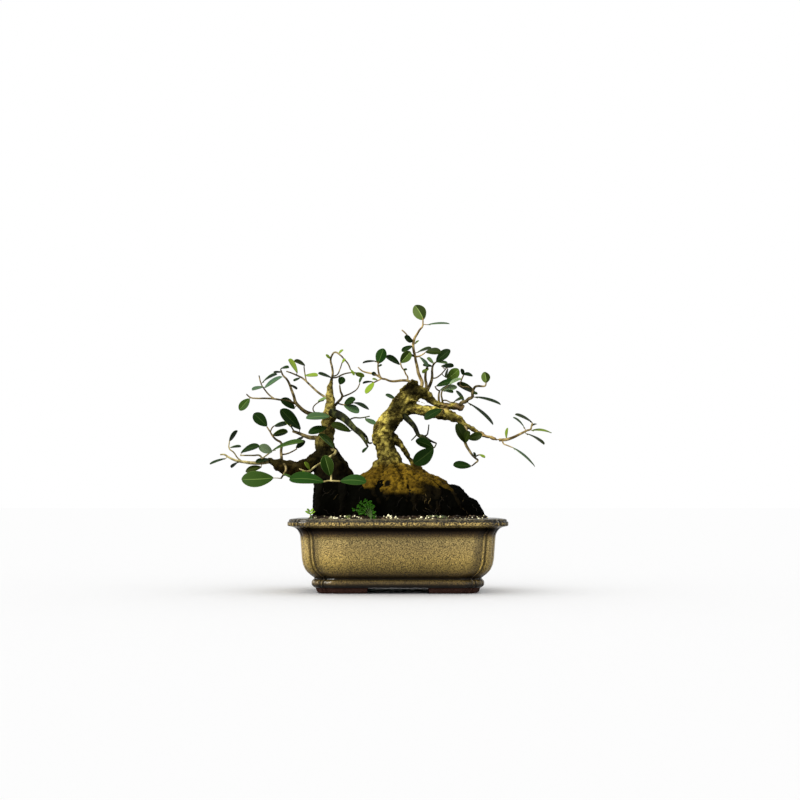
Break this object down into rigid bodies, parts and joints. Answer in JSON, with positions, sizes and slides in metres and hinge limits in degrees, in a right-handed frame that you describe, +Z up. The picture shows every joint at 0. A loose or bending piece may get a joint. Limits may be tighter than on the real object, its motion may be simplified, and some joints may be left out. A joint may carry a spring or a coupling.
{
  "type": "potted bonsai tree",
  "caption": "Green island ficus bonsai with a leaning main trunk and a smaller straight one on a raised root ball, in a glazed oblong pot with lobed corners, a wide rim and short corner feet",
  "frame": {"origin": "Under the middle of the whole extent of pot and branches, on the surface that the pot's feet stand on", "axes": "+X along the pot's long side, from the smaller straight trunk to the larger leaning one; +Z up; the pot's front, which the picture shows, faces -Y"},
  "size_m": [0.4028, 0.19, 0.3437],
  "materials": {
    "glazed_stoneware": "gloss",
    "drainage_mesh": "matte",
    "potting_soil": "matte",
    "old_root_soil": "matte",
    "dark_bark": "matte",
    "golden_bark": "matte",
    "weed_leaf": "satin",
    "ficus_leaf": "satin"
  },
  "bodies": {
    "root": {"pot": "glazed_stoneware", "drainage_mesh_left": "drainage_mesh", "drainage_mesh_right": "drainage_mesh", "soil": "potting_soil", "root_ball": "old_root_soil", "left_trunk": "dark_bark", "right_trunk": "golden_bark", "fern_weed": "weed_leaf", "seedling_weed": "weed_leaf", "left_low_spray": "ficus_leaf", "left_big_leaf_spray": "ficus_leaf", "left_rise_spray": "ficus_leaf", "left_mid_spray": "ficus_leaf", "left_upper_spray": "ficus_leaf", "left_trunk_leaf": "ficus_leaf", "left_front_spray": "ficus_leaf", "left_diagonal_spray": "ficus_leaf", "left_top_spray": "ficus_leaf", "left_inner_spray": "ficus_leaf", "left_right_spray": "ficus_leaf", "right_leader_spray": "ficus_leaf", "right_left_spray": "ficus_leaf", "right_crest_spray": "ficus_leaf", "right_mid_spray": "ficus_leaf", "right_knot_spray": "ficus_leaf", "right_hanging_spray": "ficus_leaf", "right_tip_spray": "ficus_leaf", "right_bough_leaf": "ficus_leaf", "right_lower_spray": "ficus_leaf", "right_trunk_leaf": "ficus_leaf"}
  },
  "joints": []
}
